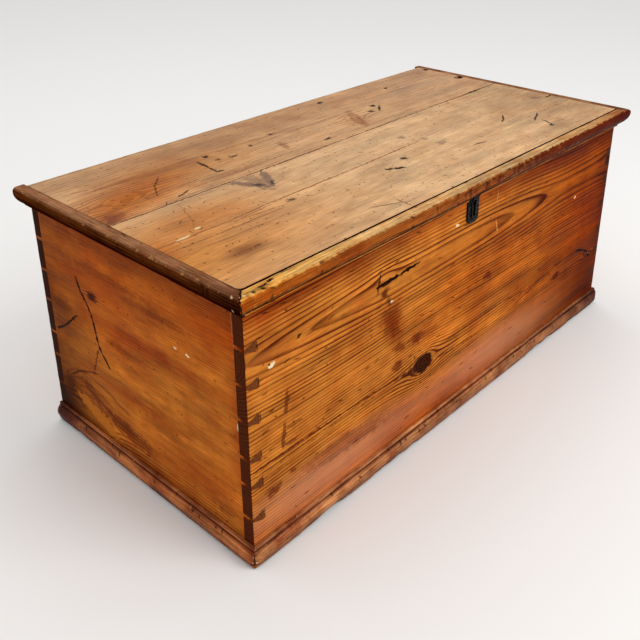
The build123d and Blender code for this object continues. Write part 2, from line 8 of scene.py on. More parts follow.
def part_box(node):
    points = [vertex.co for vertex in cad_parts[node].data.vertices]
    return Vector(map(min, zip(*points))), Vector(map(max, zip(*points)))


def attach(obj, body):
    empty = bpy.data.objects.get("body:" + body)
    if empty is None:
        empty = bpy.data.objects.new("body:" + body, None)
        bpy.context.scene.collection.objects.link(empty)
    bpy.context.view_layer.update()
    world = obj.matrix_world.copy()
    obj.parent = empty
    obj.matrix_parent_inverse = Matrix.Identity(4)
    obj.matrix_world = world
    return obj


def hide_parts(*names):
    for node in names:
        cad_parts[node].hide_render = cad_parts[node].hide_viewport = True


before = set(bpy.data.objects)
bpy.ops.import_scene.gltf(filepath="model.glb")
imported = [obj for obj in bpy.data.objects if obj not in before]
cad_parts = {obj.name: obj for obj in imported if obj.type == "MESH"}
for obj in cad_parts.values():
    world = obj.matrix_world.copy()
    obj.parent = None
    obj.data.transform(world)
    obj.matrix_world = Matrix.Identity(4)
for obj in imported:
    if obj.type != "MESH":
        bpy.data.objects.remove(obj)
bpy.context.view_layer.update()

# Camera: solved from the chest's edges in the photograph. The photographer stood off the near
# left corner, above the lid, so the near corner is the lowest point of the picture.
camera_data = bpy.data.cameras.new("photo_camera")
camera_data.lens = 47.45
camera_data.sensor_width = 36.0
camera_data.shift_x = -0.0247
camera_data.shift_y = -0.1631
camera = bpy.data.objects.new("photo_camera", camera_data)
camera.location = (-1.07607, -0.92062, 0.93259)
camera.rotation_euler = (radians(65.902), 0.0, radians(-47.659))
bpy.context.scene.collection.objects.link(camera)
bpy.context.scene.camera = camera


# Carcass boards: four wide boards of slab-sawn Scots pine, dovetailed at the corners and
# stained by two centuries of wax. The growth rings show as dark lines that part round the
# knots, and the end grain at the corners has soaked up the most wax, so it is nearly black.
mm = 0.001


def srgb(code):
    """The linear colour of an sRGB hex code."""
    parts = [int(code[place : place + 2], 16) / 255 for place in (1, 3, 5)]
    linear = [part / 12.92 if part <= 0.04045 else ((part + 0.055) / 1.055) ** 2.4 for part in parts]
    return (*linear, 1.0)


def add(tree, kind, inputs, out=0, **settings):
    """Adds a node with its settings; an input is a value or the output of another node."""
    made = tree.nodes.new("ShaderNode" + kind)
    for name, value in settings.items():
        setattr(made, name, value)
    for name, value in inputs.items():
        if isinstance(value, bpy.types.NodeSocket):
            tree.links.new(value, made.inputs[name])
        else:
            made.inputs[name].default_value = value
    return made.outputs[out]


def new_material(name):
    """An empty material, with its tree and the shader whose sockets are set later."""
    made = bpy.data.materials.new(name)
    made.use_nodes = True
    tree = made.node_tree
    return made, tree, tree.nodes["Principled BSDF"]


def tinted(tree, amount, colour, code, blend_type="MIX"):
    """Lays another colour over the colour so far, by the amount."""
    mixed = {0: amount, 6: colour, 7: srgb(code)}
    return add(tree, "Mix", mixed, out=2, data_type="RGBA", blend_type=blend_type)


def marks(tree, spot, places, core=0.35, ragged=0.0):
    """The strongest of several marks on a face, each a place, half sizes, an angle and a strength.

    A mark is an ellipse that fades from its core to its edge, and a thin one fades late, so that
    it stays a line. ragged is added to the distance from its middle, so a noise there tears the
    outline of a large mark and of a thin one alike.
    """
    thin_core = 0.6
    most = 0.0
    for place, half, angle, strength in places:
        here = {"Location": (*place, 0), "Rotation": (0, 0, radians(angle)), "Scale": (*half, 1)}
        local = add(tree, "Mapping", {"Vector": spot, **here}, vector_type="TEXTURE")
        away = add(tree, "VectorMath", {0: local}, out="Value", operation="LENGTH")
        torn = add(tree, "Math", {0: away, 1: ragged}, operation="ADD")
        solid = thin_core if core and half[0] > half[1] * 4 else core
        fade = {"Value": torn, "From Min": 1.0, "From Max": solid, "To Max": strength}
        mark = add(tree, "MapRange", fade, interpolation_type="SMOOTHSTEP")
        most = add(tree, "Math", {0: most, 1: mark}, operation="MAXIMUM")
    return most


def crack(points, width, strength=1.0):
    """A crack or scratch as a row of thin marks, one for each run between its points.

    Each mark is longer than its run, so that the marks overlap where they fade.
    """
    longer = 1.56
    runs = []
    for start, end in zip(points, points[1:]):
        run = Vector(end) - Vector(start)
        middle = (Vector(start) + Vector(end)) / 2
        tilt = run.angle_signed(Vector((1, 0)))
        runs.append((tuple(middle), (run.length * longer / 2, width / 2), degrees(tilt), strength))
    return runs


def scattered(tree, spot, apart, half, share, seed, spin=40.0):
    """Small marks at random places, each turned its own way: their strength from 0 to 1.

    apart is the usual distance between places, half a mark's half length and width, share how
    many of the places hold a mark, and spin how far they turn from the grain, in radians.
    """
    slide = (seed * 71.3, seed * 37.7, 0)
    moved = add(tree, "VectorMath", {0: spot, 1: slide}, operation="ADD")
    small = add(tree, "VectorMath", {0: moved, "Scale": 1 / apart}, operation="SCALE")
    cells = tree.nodes.new("ShaderNodeTexVoronoi")
    cells.voronoi_dimensions = "2D"
    cells.inputs["Scale"].default_value = 1.0
    tree.links.new(small, cells.inputs["Vector"])
    away = add(tree, "VectorMath", {0: small, 1: cells.outputs["Position"]}, operation="SUBTRACT")
    luck = add(tree, "SeparateColor", {0: cells.outputs["Color"]}, out=2)
    other = add(tree, "SeparateColor", {0: cells.outputs["Color"]}, out=1)
    turn = add(tree, "Math", {0: luck, 1: spin, 2: -spin / 2}, operation="MULTIPLY_ADD")
    turned = add(tree, "VectorRotate", {"Vector": away, "Angle": turn}, rotation_type="Z_AXIS")
    sized = (apart / half[0], apart / half[1], 0)
    local = add(tree, "VectorMath", {0: turned, 1: sized}, operation="MULTIPLY")
    distance = add(tree, "VectorMath", {0: local}, out="Value", operation="LENGTH")
    outline = {"Value": distance, "From Min": 1.0, "From Max": 0.4}
    fade = add(tree, "MapRange", outline, interpolation_type="SMOOTHSTEP")
    chosen = add(tree, "MapRange", {"Value": other, "From Min": 1 - share, "From Max": 1 - share * 0.6})
    return add(tree, "Math", {0: fade, 1: chosen}, operation="MULTIPLY")


def streaks(tree, spot, length, width, detail, roughness):
    """A noise drawn out along the grain, in patches about as long and as wide as asked, in mm."""
    shrink = (1 / length, 1 / width, 1 / width)
    sized = add(tree, "VectorMath", {0: spot, 1: shrink}, operation="MULTIPLY")
    look = {"Vector": sized, "Scale": 1.0, "Detail": detail, "Roughness": roughness}
    return add(tree, "TexNoise", look)


def pine(
    name,
    axes,
    early,
    late,
    face,
    rings,
    end_grain="#5A260C",
    outwards=(0, 0, 0),
    knots=(),
    washes=(),
    shades=(),
    stains=(),
    dents=(),
    scatter=(),
    rubs=(),
    blotch=("#C88A70", 0.5),
    streaky=0.34,
    roughness=(0.38, 0.6),
    contrast=1.0,
    gloss=0.12,
):
    """Slab-sawn pine: growth rings cut lengthwise, knots, soft changes of colour and old marks.

    axes are the board's own: along the grain, across it and through it. face is how far its show
    face lies from the middle of the chest and outwards the way that face looks: the far side of
    the board is bare wood and has none of the marks. rings is the ring spacing, how far across
    the board and how deep under its face the tree's middle lies, then the place along the board
    and the size of the bow that closes the rings into long tongues, and how far that bow reaches.
    A knot is a place, a size, how much longer it is along the grain, and how dark. A wash or a
    stain is a colour, how it is laid on, and its marks. A shade darkens what looks one way: the
    direction, where it begins and is full, its colour and strength. A rub bares what looks one
    way: the direction, where it begins, how much, and its colour. A scatter is what scattered()
    asks for. All lengths are in mm.
    """
    made, tree, shader = new_material(name)
    place = add(tree, "TexCoord", {}, out="Object")
    apart = tree.nodes.new("ShaderNodeSeparateXYZ")
    tree.links.new(place, apart.inputs[0])
    turned = add(tree, "CombineXYZ", {number: apart.outputs[axis] for number, axis in enumerate(axes)})
    spot = add(tree, "VectorMath", {0: turned, "Scale": 1000.0}, operation="SCALE")
    on_face = add(tree, "VectorMath", {0: spot, 1: (1, 1, 0)}, operation="MULTIPLY")
    along = add(tree, "SeparateXYZ", {0: spot}, out=0)
    across = add(tree, "SeparateXYZ", {0: spot}, out=1)
    through = add(tree, "SeparateXYZ", {0: spot}, out=2)

    # Growth rings, from the distance to the tree's middle, which wanders along the board. The
    # lines part round each knot like a stream round a stone.
    spacing, middle, depth, bow_place, bow, reach = rings
    wander = streaks(tree, spot, length=330, width=90, detail=2.0, roughness=0.35)
    swing = add(tree, "MapRange", {"Value": wander, "To Min": -8.0, "To Max": 8.0})
    height = add(tree, "Math", {0: across, 1: swing}, operation="ADD")
    crowded = 0.0
    for knot_place, size, stretch, _ in knots:
        around = add(tree, "VectorMath", {0: on_face, 1: (*knot_place, 0)}, operation="SUBTRACT")
        shrink = (1 / (size * stretch), 1 / size, 0)
        near = add(tree, "VectorMath", {0: around, 1: shrink}, operation="MULTIPLY")
        square = add(tree, "VectorMath", {0: near, 1: near}, out="Value", operation="DOT_PRODUCT")
        softer = add(tree, "Math", {0: square, 1: 0.3}, operation="ADD")
        push = add(tree, "VectorMath", {0: around, 1: (0, -1, 0)}, out="Value", operation="DOT_PRODUCT")
        parted = add(tree, "Math", {0: push, 1: softer}, operation="DIVIDE")
        height = add(tree, "Math", {0: height, 1: parted}, operation="ADD")
        beside = add(tree, "MapRange", {"Value": square, "From Min": 9.0, "From Max": 1.0})
        crowded = add(tree, "Math", {0: crowded, 1: beside}, operation="MAXIMUM")
    rise = add(tree, "Math", {0: height, 1: middle}, operation="SUBTRACT")
    shift = add(tree, "Math", {0: along, 1: bow_place}, operation="SUBTRACT")
    sweep = add(tree, "Math", {0: shift, 1: 2.0}, operation="POWER")
    bend = add(tree, "Math", {0: sweep, 1: reach**2, 2: reach**2 / 3}, operation="SMOOTH_MIN")
    under = add(tree, "Math", {0: bend, 1: bow * 1e-4, 2: depth}, operation="MULTIPLY_ADD")
    from_middle = add(tree, "Math", {0: through}, operation="ABSOLUTE")
    inwards = add(tree, "Math", {0: from_middle, 1: face}, operation="SUBTRACT")
    lower = add(tree, "Math", {0: under, 1: inwards}, operation="ADD")
    section = add(tree, "CombineXYZ", {0: rise, 1: lower})
    radius = add(tree, "VectorMath", {0: section}, out="Value", operation="LENGTH")
    count = add(tree, "Math", {0: radius, 1: spacing}, operation="DIVIDE")
    ring = add(tree, "Math", {0: count}, operation="FLOOR")
    part = add(tree, "Math", {0: count}, operation="FRACT")
    luck = add(tree, "TexWhiteNoise", {"W": ring}, out="Value", noise_dimensions="1D")

    # Fibres, drawn coarser than the real 0.05 mm, so that they show at arm's length, and soft
    # clouds. The bands are richer and poorer wood, as the tree had wet years and dry ones.
    fibre = streaks(tree, spot, length=40, width=1.7, detail=3.0, roughness=0.6)
    cloud = streaks(tree, spot, length=130, width=34, detail=4.0, roughness=0.55)
    band = streaks(tree, spot, length=420, width=13, detail=5.0, roughness=0.6)
    usual = {"From Min": 0.3, "From Max": 0.7}

    # Late wood: each ring darkens towards its outer edge and then stops short
    late_wood = {"Value": part, "From Min": 0.42, "From Max": 0.88}
    growing = add(tree, "MapRange", late_wood, interpolation_type="SMOOTHSTEP")
    stop = add(tree, "MapRange", {"Value": part, "From Min": 1.0, "From Max": 0.93})
    edge = add(tree, "Math", {0: growing, 1: stop}, operation="MULTIPLY")
    weight = add(tree, "MapRange", {"Value": luck, "To Min": 0.4 * contrast, "To Max": 1.3 * contrast})
    patchy = add(tree, "MapRange", {"Value": cloud, **usual, "To Min": 1.15, "To Max": 0.6})
    denser = add(tree, "Math", {0: crowded, 1: contrast, 2: weight}, operation="MULTIPLY_ADD")
    line = add(tree, "Math", {0: edge, 1: denser}, operation="MULTIPLY")
    drawn = add(tree, "Math", {0: line, 1: patchy}, operation="MULTIPLY", use_clamp=True)
    facing = add(tree, "TexCoord", {}, out="Normal")
    looks_out = add(tree, "VectorMath", {0: facing, 1: outwards}, out="Value", operation="DOT_PRODUCT")
    shown = add(tree, "MapRange", {"Value": looks_out, "From Min": -0.8, "From Max": -0.5})
    inner = add(tree, "Math", {0: 1.0, 1: shown}, operation="SUBTRACT")
    bare_early, bare_late = "#B88E5E", "#7E5630"
    light = tinted(tree, inner, srgb(early), bare_early)
    heavy = tinted(tree, inner, srgb(late), bare_late)
    colour = add(tree, "Mix", {0: drawn, 6: light, 7: heavy}, out=2, data_type="RGBA")
    dim, bright = 1 - streaky, 1 + streaky * 0.7
    streak = add(tree, "MapRange", {"Value": fibre, **usual, "To Min": dim, "To Max": bright})
    soft = {"Value": cloud, "From Min": 0.25, "From Max": 0.75, "To Min": 0.76, "To Max": 1.2}
    tone = add(tree, "MapRange", soft)
    lean, rich = 1 - 0.3 * contrast, 1 + 0.25 * contrast
    year = add(tree, "MapRange", {"Value": band, **usual, "To Min": lean, "To Max": rich})
    plain = add(tree, "Math", {0: streak, 1: tone}, operation="MULTIPLY")
    shade = add(tree, "Math", {0: plain, 1: year}, operation="MULTIPLY")
    colour = add(tree, "VectorMath", {0: colour, "Scale": shade}, operation="SCALE")

    # Soft changes of colour over the face, some of them painted reflection and painted shade, and colour by
    # the way that the surface looks, much of it painted shade
    broad = add(tree, "TexNoise", {"Vector": spot, "Scale": 0.016, "Detail": 5.0, "Roughness": 0.62})
    blotches = {"Value": broad, "From Min": 0.42, "From Max": 0.66, "To Max": blotch[1]}
    colour = tinted(tree, add(tree, "MapRange", blotches), colour, blotch[0], "MULTIPLY")
    for code, blend_type, places in washes:
        mark = marks(tree, on_face, places, core=0.0)
        laid = add(tree, "Math", {0: mark, 1: shown}, operation="MULTIPLY")
        colour = tinted(tree, laid, colour, code, blend_type)
    for direction, least, most, code, strength in shades:
        towards = add(tree, "VectorMath", {0: facing, 1: direction}, out="Value", operation="DOT_PRODUCT")
        turn = {"Value": towards, "From Min": least, "From Max": most, "To Max": strength}
        colour = tinted(tree, add(tree, "MapRange", turn), colour, code, "MULTIPLY")

    # Marks with ragged outlines: stains and knots soak in, dents are cut and hold dirt
    bumpy = add(tree, "TexNoise", {"Vector": spot, "Scale": 0.12, "Detail": 2.0}, out="Color")
    jitter = add(tree, "VectorMath", {0: bumpy, 1: (0.5, 0.5, 0.5)}, operation="SUBTRACT")
    wobble = add(tree, "VectorMath", {0: jitter, 1: (7.0, 5.0, 0.0), 2: on_face}, operation="MULTIPLY_ADD")
    torn = add(tree, "TexNoise", {"Vector": spot, "Scale": 0.1, "Detail": 6.0, "Roughness": 0.7})
    ragged = add(tree, "Math", {0: torn, 1: 2.0, 2: -1.0}, operation="MULTIPLY_ADD")
    for code, blend_type, places in stains:
        mark = marks(tree, wobble, places, ragged=ragged)
        soaked = add(tree, "Math", {0: mark, 1: shown}, operation="MULTIPLY")
        colour = tinted(tree, soaked, colour, code, blend_type)
    knot_dark, knot_pale, dirt = "#170703", "#53220C", "#1C0B04"
    for knot_place, size, _, strength in knots:
        if strength:
            heart = {"Vector": wobble, "Location": (*knot_place, 0), "Scale": (size * 1.35, size, 1)}
            local = add(tree, "Mapping", heart, vector_type="TEXTURE")
            away = add(tree, "VectorMath", {0: local}, out="Value", operation="LENGTH")
            growth = add(tree, "Math", {0: away, 1: 0.11}, operation="PINGPONG")
            paler = add(tree, "MapRange", {"Value": growth, "From Min": 0.03, "From Max": 0.11})
            knot_colour = tinted(tree, paler, srgb(knot_dark), knot_pale)
            edge_of_knot = add(tree, "Math", {0: ragged, 1: 0.5, 2: away}, operation="MULTIPLY_ADD")
            fade = {"Value": edge_of_knot, "From Min": 1.0, "From Max": 0.75, "To Max": strength}
            knotted = {0: add(tree, "MapRange", fade), 6: colour, 7: knot_colour}
            colour = add(tree, "Mix", knotted, out=2, data_type="RGBA")
    pit = marks(tree, wobble, dents, ragged=ragged)
    for spread in scatter:
        more = scattered(tree, wobble, *spread)
        faint = add(tree, "Math", {0: more, 1: 0.7}, operation="MULTIPLY")
        pit = add(tree, "Math", {0: pit, 1: faint}, operation="MAXIMUM")
    pit = add(tree, "Math", {0: pit, 1: shown}, operation="MULTIPLY")
    colour = tinted(tree, pit, colour, dirt)

    # End grain, wherever the face looks along the board
    direction = tuple(1.0 if axis == axes[0] else 0.0 for axis in "XYZ")
    along_face = add(tree, "VectorMath", {0: facing, 1: direction}, out="Value", operation="DOT_PRODUCT")
    square_on = add(tree, "Math", {0: along_face}, operation="ABSOLUTE")
    is_end = add(tree, "MapRange", {"Value": square_on, "From Min": 0.6, "From Max": 0.85})
    pores = add(tree, "TexNoise", {"Vector": spot, "Scale": 0.6, "Detail": 4.0, "Roughness": 0.7})
    porous = add(tree, "MapRange", {"Value": pores, **usual, "To Min": 0.35, "To Max": 1.65})
    end_tone = add(tree, "Math", {0: drawn, 1: -0.5, 2: porous}, operation="MULTIPLY_ADD")
    end_colour = add(tree, "VectorMath", {0: srgb(end_grain)[:3], "Scale": end_tone}, operation="SCALE")
    colour = add(tree, "Mix", {0: is_end, 6: colour, 7: end_colour}, out=2, data_type="RGBA")

    # Arrises rubbed bare in flecks, wherever the surface looks a certain way
    for towards, least, amount, code in rubs:
        looks = add(tree, "VectorMath", {0: facing, 1: towards}, out="Value", operation="DOT_PRODUCT")
        on_arris = add(tree, "MapRange", {"Value": looks, "From Min": least, "From Max": least + 0.05})
        chips = add(tree, "TexNoise", {"Vector": spot, "Scale": 0.12, "Detail": 6.0, "Roughness": 0.75})
        bare = add(tree, "MapRange", {"Value": chips, "From Min": 0.78 - amount, "From Max": 0.8 - amount})
        rubbed = add(tree, "Math", {0: on_arris, 1: bare}, operation="MULTIPLY")
        colour = tinted(tree, rubbed, colour, code)

    # Relief: the soft early wood is worn lower than the late wood, and the dents are deepest
    ridge = add(tree, "Math", {0: drawn, 1: 0.08}, operation="MULTIPLY")
    grain = add(tree, "Math", {0: fibre, 1: 0.10, 2: ridge}, operation="MULTIPLY_ADD")
    sunk = add(tree, "Math", {0: pit, 1: -0.5, 2: grain}, operation="MULTIPLY_ADD")
    relief = add(tree, "Bump", {"Strength": 1.0, "Distance": mm, "Height": sunk}, out="Normal")
    dull = {"Value": cloud, **usual, "To Min": roughness[0], "To Max": roughness[1]}
    tree.links.new(colour, shader.inputs["Base Color"])
    tree.links.new(relief, shader.inputs["Normal"])
    tree.links.new(add(tree, "MapRange", dull), shader.inputs["Roughness"])
    shader.inputs["IOR"].default_value = 1.5
    shader.inputs["Specular IOR Level"].default_value = gloss
    return made


def even_steps(first, last, apart):
    """Places between two ends, about as far apart as asked, without the ends."""
    count = max(1, round((last - first) / apart))
    return [first + (last - first) * number / count for number in range(1, count)]


def sliced_copy(node, **places):
    """A merged copy of a CAD piece's mesh, cut across at places along X, Y or Z."""
    shape = bmesh.new()
    shape.from_mesh(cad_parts[node].data)
    bmesh.ops.remove_doubles(shape, verts=shape.verts, dist=0.01 * mm)
    bmesh.ops.dissolve_limit(shape, angle_limit=radians(0.5), verts=shape.verts, edges=shape.edges)
    for axis, cuts in places.items():
        square = Vector([float(letter == axis) for letter in "XYZ"])
        for cut in cuts:
            everything = shape.verts[:] + shape.edges[:] + shape.faces[:]
            bmesh.ops.bisect_plane(shape, geom=everything, dist=1e-6, plane_co=square * cut, plane_no=square)
    return shape


def carve(shape, axes, outwards, dents, depth):
    """Cuts marks into one face: it is divided finely round each mark, and its vertices sink.

    A mark is a place along and across the board, half sizes, an angle and a strength.
    """
    # A face is divided where it looks outwards, lies near the mark and is over 2 mm square
    squarely, margin, widest, smallest_face = 0.9, 5.0, 2.5, 4 * mm**2
    along, across = ("XYZ".index(axis) for axis in axes[:2])
    facing = Vector(outwards)

    def offset(point, mark):
        """Where a point lies from a mark's middle, along and across the board, in mm."""
        return point[along] / mm - mark[0][0], point[across] / mm - mark[0][1]

    def beside(point, mark, reach):
        """Whether a point lies in the square round a mark."""
        return max(abs(part) for part in offset(point, mark)) < reach

    def distance(point, mark):
        """How far a point lies from a mark's middle, where 1 is the mark's edge."""
        _, half, angle, _ = mark
        away = Vector(offset(point, mark))
        away.rotate(Matrix.Rotation(radians(-angle), 2))
        return Vector((away.x / half[0], away.y / half[1])).length

    for mark in dents:
        shape.normal_update()
        edges = {}
        for face in shape.faces:
            middle = face.calc_center_median()
            if beside(middle, mark, max(mark[1]) + margin) and face.normal.dot(facing) > squarely:
                if distance(middle, mark) < widest and face.calc_area() > smallest_face:
                    edges.update(dict.fromkeys(face.edges))
        if edges:
            bmesh.ops.subdivide_edges(shape, edges=list(edges), cuts=2, use_grid_fill=True)
    shape.normal_update()
    for vert in shape.verts:
        if vert.normal.dot(facing) > squarely:
            near = [mark for mark in dents if beside(vert.co, mark, max(mark[1]))]
            sunk = [mark[3] * (1 - min(1.0, distance(vert.co, mark))) for mark in near]
            vert.co -= facing * max(sunk, default=0.0) * depth


def settle(shape, node, body, finish):
    """Makes the piece that stands for a CAD node, shaded smooth except at its arrises."""
    sharpest_smooth = 35.0
    mesh = bpy.data.meshes.new(node + "_worn")
    shape.to_mesh(mesh)
    shape.free()
    mesh.materials.append(finish)
    mesh.shade_smooth()
    mesh.set_sharp_from_angle(angle=radians(sharpest_smooth))
    piece = bpy.data.objects.new(node + "_worn", mesh)
    bpy.context.scene.collection.objects.link(piece)
    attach(piece, body)
    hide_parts(node)


front_gouge = ((-245, 337), (-225, 338), (-190, 339), (-150, 341))
front_scratch = ((393, 163), (425, 155), (447, 142), (460, 127))
front_dents = (
    *crack(front_gouge, 8.0),
    *crack(((-236, 353), (-241, 330)), 5.5, 0.9),
    ((-404, 332), (7, 3), 30, 0.9),
    ((-459, 314), (3, 2.4), 0, 1.0),
    *crack(front_scratch, 6.5, 1.0),
)
carcass_low, carcass_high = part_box("front_board")[0] / mm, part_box("back_board")[1] / mm
front_face, back_face, end_face = -carcass_low.y, carcass_high.y, carcass_high.x
pin_heights = (79, 136, 181, 242, 297, 353)
pin_foot = -478.6
front_bruises = (
    ((-207, 268), (30, 34), 20, 0.45),
    ((-197, 244), (24, 14), -30, 0.5),
    ((-140, 206), (24, 15), -15, 0.8),
    ((-185, 208), (20, 12), -15, 0.7),
    ((-187, 176), (18, 14), -15, 0.7),
    ((60, 240), (18, 11), -10, 0.8),
    ((-310, 98), (110, 20), -4, 0.35),
    ((-350, 108), (40, 10), -4, 0.5),
    ((-270, 92), (46, 10), -8, 0.5),
    ((-460, 108), (18, 14), 0, 0.8),
    ((-420, 118), (12, 6), 0, 0.7),
    ((318, 137), (22, 12), 0, 0.9),
)
front_dark_lines = (
    ((-430, 240), (25, 5), 82, 0.7),
    ((-437, 190), (25, 5), 84, 0.7),
    ((-418, 197), (18, 4), 0, 0.6),
    ((-424, 171), (22, 4), 0, 0.7),
    ((-226, 322), (15, 11), 0, 0.9),
    ((-214, 305), (10, 12), 20, 0.8),
    *crack(((-500, 159), (-400, 159), (-300, 157), (-230, 155), (-160, 150)), 5.0, 0.9),
    *crack(((-500, 150), (-360, 150), (-250, 148)), 3.4, 0.6),
    *crack(((-85, 138), (-30, 134), (60, 131)), 4.0, 0.7),
    *crack(((-60, 160), (40, 163), (120, 161), (200, 153), (300, 158)), 3.8, 0.7),
    *crack(((180, 139), (300, 160), (345, 164), (400, 160)), 4.4, 0.85),
    *crack(((330, 130), (400, 133), (450, 130)), 4.0, 0.8),
    *crack(((-500, 137), (-300, 136), (-150, 134)), 3.0, 0.45),
)
front_pale_flecks = (
    ((-455, 312), (9, 4.4), 0, 1.0),
    ((-208, 301), (5, 3.6), 0, 0.9),
    ((-44, 370), (5, 3), 0, 0.9),
    ((362, 292), (6, 3.4), 0, 0.8),
    ((453, 136), (5, 3), 0, 0.9),
)

# Waxed front: orange pine, reddened in bruises round its large knot
front_pine = pine(
    "waxed_pine_front",
    axes="XZY",
    early="#D28030",
    late="#6A2A0A",
    end_grain="#4E210C",
    face=front_face,
    outwards=(0, -1, 0),
    rings=(5.5, 329.0, 27.6, -125.0, 0.78, 410.0),
    knots=(
        ((-119, 147), 20, 1.7, 1.0),
        ((448, 136), 9, 2.6, 0.0),
        ((494, 335), 13, 1.6, 1.0),
        ((-222, 342), 12, 2.2, 0.0),
    ),
    washes=(
        ("#E0A088", "MULTIPLY", (((-100, 40), (800, 110), 0, 0.8),)),
        # A paler pinkish haze low on the front: painted reflection of the floor, in part faded wax.
        ("#CC9070", "MIX", (((180, 76), (420, 60), 0, 0.6),)),
        ("#D2906A", "MIX", (((-340, 72), (320, 62), 0, 0.55),)),
        ("#8E5A24", "MULTIPLY", (((470, 60), (240, 130), 0, 0.9), ((540, 240), (130, 420), 0, 0.9))),
        # The next two washes darken the top of the board, under the lid's overhang: painted shade.
        ("#C07848", "MULTIPLY", (((-430, 400), (260, 34), 0, 0.7), ((330, 395), (420, 50), 0, 0.7))),
        ("#B06848", "MULTIPLY", (((0, 412), (1500, 40), 0, 0.8),)),
        ("#CE9238", "MULTIPLY", (((470, 230), (540, 420), 0, 1.0),)),
        ("#D8CA6C", "MULTIPLY", (((540, 230), (480, 700), 0, 1.0),)),
        ("#ECD2B0", "MULTIPLY", (((20, 250), (260, 150), 0, 1.0),)),
        ("#B4662A", "MIX", (((-474, 330), (56, 13), 0, 0.75),)),
        ("#B07050", "MULTIPLY", (((-205, 262), (40, 80), 25, 0.8),)),
    ),
    stains=(
        ("#9A5A48", "MULTIPLY", front_bruises),
        ("#521F0A", "MIX", front_dark_lines),
        ("#3E1507", "MIX", (((-124, 148), (46, 22), 4, 0.75), ((-152, 149), (30, 9), 4, 0.9))),
        ("#1C0B05", "MIX", tuple(((pin_foot, height), (11.0, 2.0), 90, 0.8) for height in pin_heights)),
        ("#1A0A05", "MIX", (*crack(front_gouge, 5.5, 0.9), *crack(front_scratch, 6.5, 0.75))),
        ("#F3DFB6", "MIX", front_pale_flecks),
        (
            "#E0A050",
            "MIX",
            (*crack(((72, 395), (73, 370)), 2.0, 0.6), *crack(((74, 338), (79, 320)), 2.4, 0.9)),
        ),
    ),
    dents=front_dents,
    scatter=((30, (3.6, 1.4), 0.3, 1), (30, (9.0, 1.5), 0.35, 15, 0.5)),
    gloss=0.01,
)
long_split = ((146, 319), (137, 297), (122, 278), (111, 254), (107, 230), (104, 213), (96, 200), (79, 181))
low_split = ((226, 194), (200, 209), (180, 226), (160, 242))
left_end_dents = (
    *crack(long_split, 6.0, 0.8),
    *crack(low_split, 4.5, 0.85),
    *crack(((107, 202), (116, 182), (125, 157)), 5.5, 0.7),
    *crack(((200, 115), (170, 135), (140, 146), (120, 152)), 4.5, 0.7),
)
right_end_dents = (
    *crack(((-180, 196), (-120, 190), (-60, 193)), 4.0, 0.8),
    *crack(((40, 90), (70, 112)), 4.0, 0.8),
    ((150, 300), (6, 4), 20, 0.9),
)
left_end_stains = (
    ((140, 107), (50, 15), 25, 0.55),
    ((50, 77), (74, 16), 13, 0.6),
    ((20, 70), (50, 18), 0, 0.6),
    ((205, 90), (30, 30), 0, 0.6),
    ((105, 299), (18, 14), 0, 0.8),
    ((30, 232), (60, 9), 0, 0.4),
    ((200, 250), (40, 12), 0, 0.4),
    ((-190, 66), (40, 14), 0, 0.4),
    ((60, 345), (120, 9), 0, 0.3),
    ((-60, 330), (90, 8), 0, 0.3),
)
left_end_dark_lines = (
    *crack(((218, 112), (190, 130), (150, 138), (100, 130), (40, 112)), 5.0, 0.55),
    *crack(((205, 108), (170, 120), (130, 116), (85, 102)), 5.0, 0.55),
    *crack(((190, 98), (158, 107), (122, 98), (80, 82)), 5.0, 0.55),
    *crack(((130, 88), (95, 74), (60, 60)), 5.0, 0.6),
)

# Waxed ends: browner pine. The left one has a long split that wanders down from its top.
end_look = {
    "axes": "YZX",
    "early": "#CE7828",
    "late": "#742F0C",
    "face": end_face,
    "contrast": 0.55,
    "gloss": 0.015,
}
left_end_pine = pine(
    "waxed_pine_left_end",
    end_grain="#6E3A1A",
    outwards=(-1, 0, 0),
    rings=(3.4, -150.0, 250.0, -60.0, 0.3, 2000.0),
    knots=(((136, 68), 25, 2.3, 0.0), ((105, 299), 7, 1.6, 0.8)),
    washes=(
        ("#4A2A1C", "MULTIPLY", (((255, 50), (185, 135), 0, 1.0),)),
        ("#6E4630", "MULTIPLY", (((262, 210), (44, 420), 0, 1.0), ((250, 230), (190, 300), 0, 0.7))),
        # Darker along the top, under the lid's overhang: painted shade.
        ("#B07868", "MULTIPLY", (((0, 415), (600, 70), 0, 0.8),)),
        ("#E4B49C", "MULTIPLY", (((80, 330), (300, 120), 0, 0.8), ((60, 250), (200, 60), 0, 0.6))),
        ("#D8A888", "MULTIPLY", (((-190, 360), (160, 90), 0, 0.9),)),
        ("#C07A58", "MULTIPLY", (((-120, 90), (260, 60), -8, 0.5), ((-235, 200), (40, 400), 0, 0.6))),
        ("#C88868", "MULTIPLY", (((-40, 262), (260, 26), 0, 0.7), ((40, 150), (200, 24), 0, 0.6))),
        ("#A06850", "MULTIPLY", (((10, 25), (600, 34), 0, 0.9),)),
    ),
    stains=(
        ("#7A4428", "MULTIPLY", left_end_stains),
        ("#4A1C0A", "MIX", (*crack(long_split, 8.0, 0.8), *crack(low_split, 6.0, 0.7))),
        ("#5A2610", "MIX", left_end_dark_lines),
        ("#6E3C26", "MULTIPLY", (((-241, 215), (16, 400), 0, 0.9),)),
        ("#B86A22", "MIX", (((132, 64), (74, 16), 19, 0.85),)),
        ("#A87850", "MIX", crack(((-221, 400), (-221, 376), (-222, 352)), 1.8, 0.5)),
        (
            "#F3DFB6",
            "MIX",
            (((-124, 295), (6, 3), 0, 0.9), ((-98, 296), (5, 2.4), 0, 0.6), ((-222, 228), (3, 8), 0, 0.6)),
        ),
    ),
    dents=left_end_dents,
    scatter=((24, (3.0, 1.6), 0.35, 2),),
    **end_look,
)
